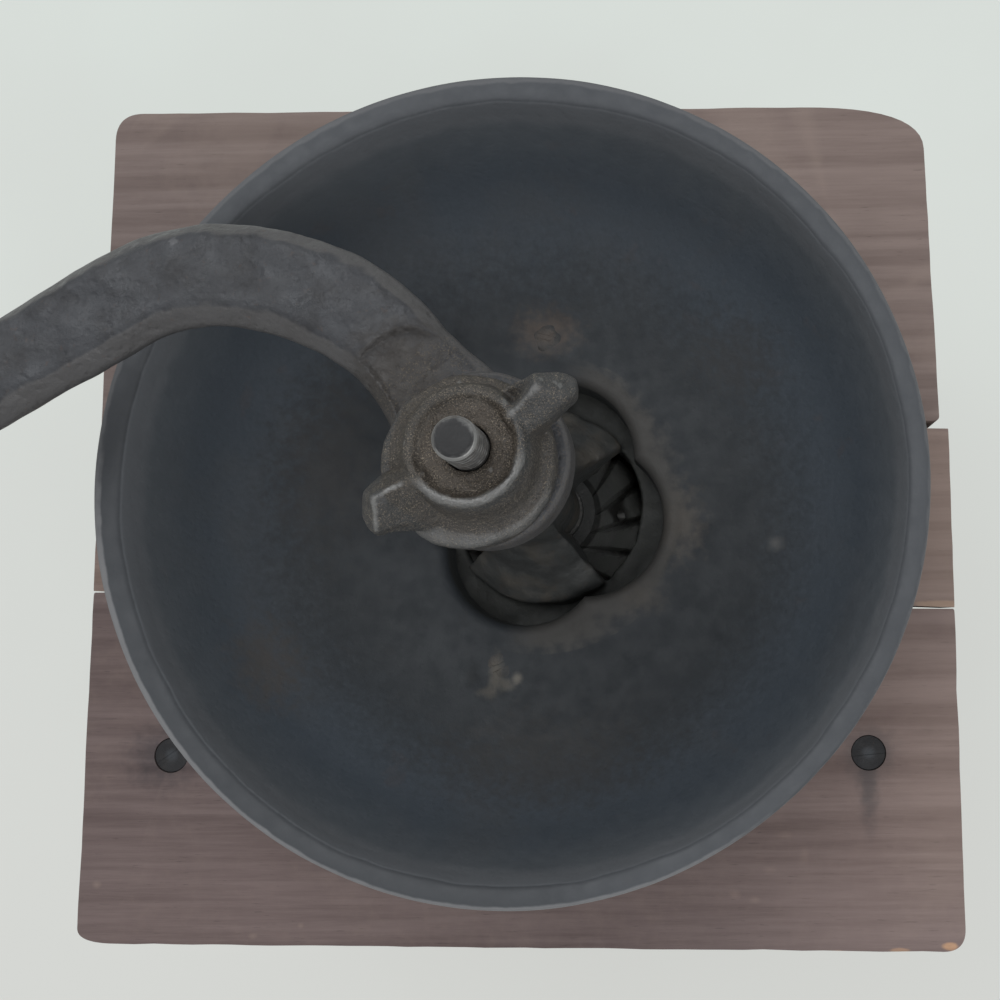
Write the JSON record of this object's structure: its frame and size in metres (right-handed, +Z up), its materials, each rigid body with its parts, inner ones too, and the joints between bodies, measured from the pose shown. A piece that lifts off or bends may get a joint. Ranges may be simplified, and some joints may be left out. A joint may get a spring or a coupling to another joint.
{
  "type": "coffee grinder",
  "caption": "Hand-cranked box coffee grinder: wooden box with a planked top, open cast hopper, curved crank with an ear nut, conical burrs and a drawer.",
  "frame": {"origin": "centre of the underside of the base board, which stands on the table", "axes": "+Z up along the crank axis's direction, -Y out of the drawer's front, +X to the right seen from the drawer's front"},
  "size_m": [0.2259, 0.188, 0.2205],
  "materials": {
    "board_wood": "old bare planks, dull reddish brown, worn",
    "box_wood": "old oiled wood, satin",
    "pale_wood": "unfinished wood, dusty",
    "knob_wood": "dark turned wood, handled smooth",
    "cast_iron": "dark blue-grey cast iron with brown rust spots",
    "arm_iron": "grey cast iron, worn and dusty",
    "nut_iron": "bare grey iron, bright on its edges",
    "shaft_steel": "old turned steel, dull",
    "screw_steel": "dark rusty steel"
  },
  "bodies": {
    "case": {"base_board": "box_wood", "side_wall_left": "box_wood", "side_wall_right": "box_wood", "back_wall": "box_wood", "front_rail": "box_wood", "guide_left": "pale_wood", "guide_right": "pale_wood", "guide_nails": "screw_steel", "corner_nails": "screw_steel", "base_screws": "screw_steel", "top_plank_back": "board_wood", "top_plank_middle_left": "board_wood", "top_plank_middle_right": "board_wood", "top_plank_front": "board_wood", "board_screws": "screw_steel", "hopper_bowl": "cast_iron", "hopper_screws": "screw_steel", "fixed_burr": "cast_iron", "fixed_burr_screws": "screw_steel", "bearing_column": "cast_iron", "column_screws": "screw_steel", "lower_bridge": "cast_iron", "lower_bridge_bolts": "screw_steel"},
    "crank": {"crank_arm": "arm_iron", "knob_pin": "shaft_steel", "knob_washer": "shaft_steel"},
    "knob": {"crank_knob": "knob_wood"},
    "nut": {"ear_nut": "nut_iron"},
    "spindle": {"shaft": "shaft_steel", "turning_burr": "cast_iron", "burr_pin": "shaft_steel"},
    "drawer": {"drawer_front": "box_wood", "drawer_side_left": "pale_wood", "drawer_side_right": "pale_wood", "drawer_back": "pale_wood", "drawer_bottom": "pale_wood", "drawer_nails": "screw_steel", "drawer_pull": "knob_wood", "drawer_pull_screw": "screw_steel"}
  },
  "joints": [
    {"name": "crank_turn", "type": "hinge", "parent": "case", "child": "crank", "pos_m": [0.005, 0.0016, 0.178], "axis": [0, 0, -1], "continuous": true},
    {"name": "knob_spin", "type": "hinge", "parent": "crank", "child": "knob", "pos_m": [-0.12044, -0.01064, 0.1862], "axis": [0, 0, 1], "continuous": true},
    {"name": "nut_turn", "type": "hinge", "parent": "crank", "child": "nut", "pos_m": [0.005, 0.0016, 0.1864], "axis": [0, 0, -1], "range_deg": [-360, 360]},
    {"name": "burr_lift", "type": "slide", "parent": "crank", "child": "spindle", "axis": [0, 0, 1], "range_m": [-0.00127, 0.00127]},
    {"name": "drawer_slide", "type": "slide", "parent": "case", "child": "drawer", "axis": [0, -1, 0], "range_m": [0, 0.11]}
  ],
  "couplings": [
    {"joint": "nut_turn", "follows": "burr_lift", "rad_per_m": 4947.4}
  ]
}
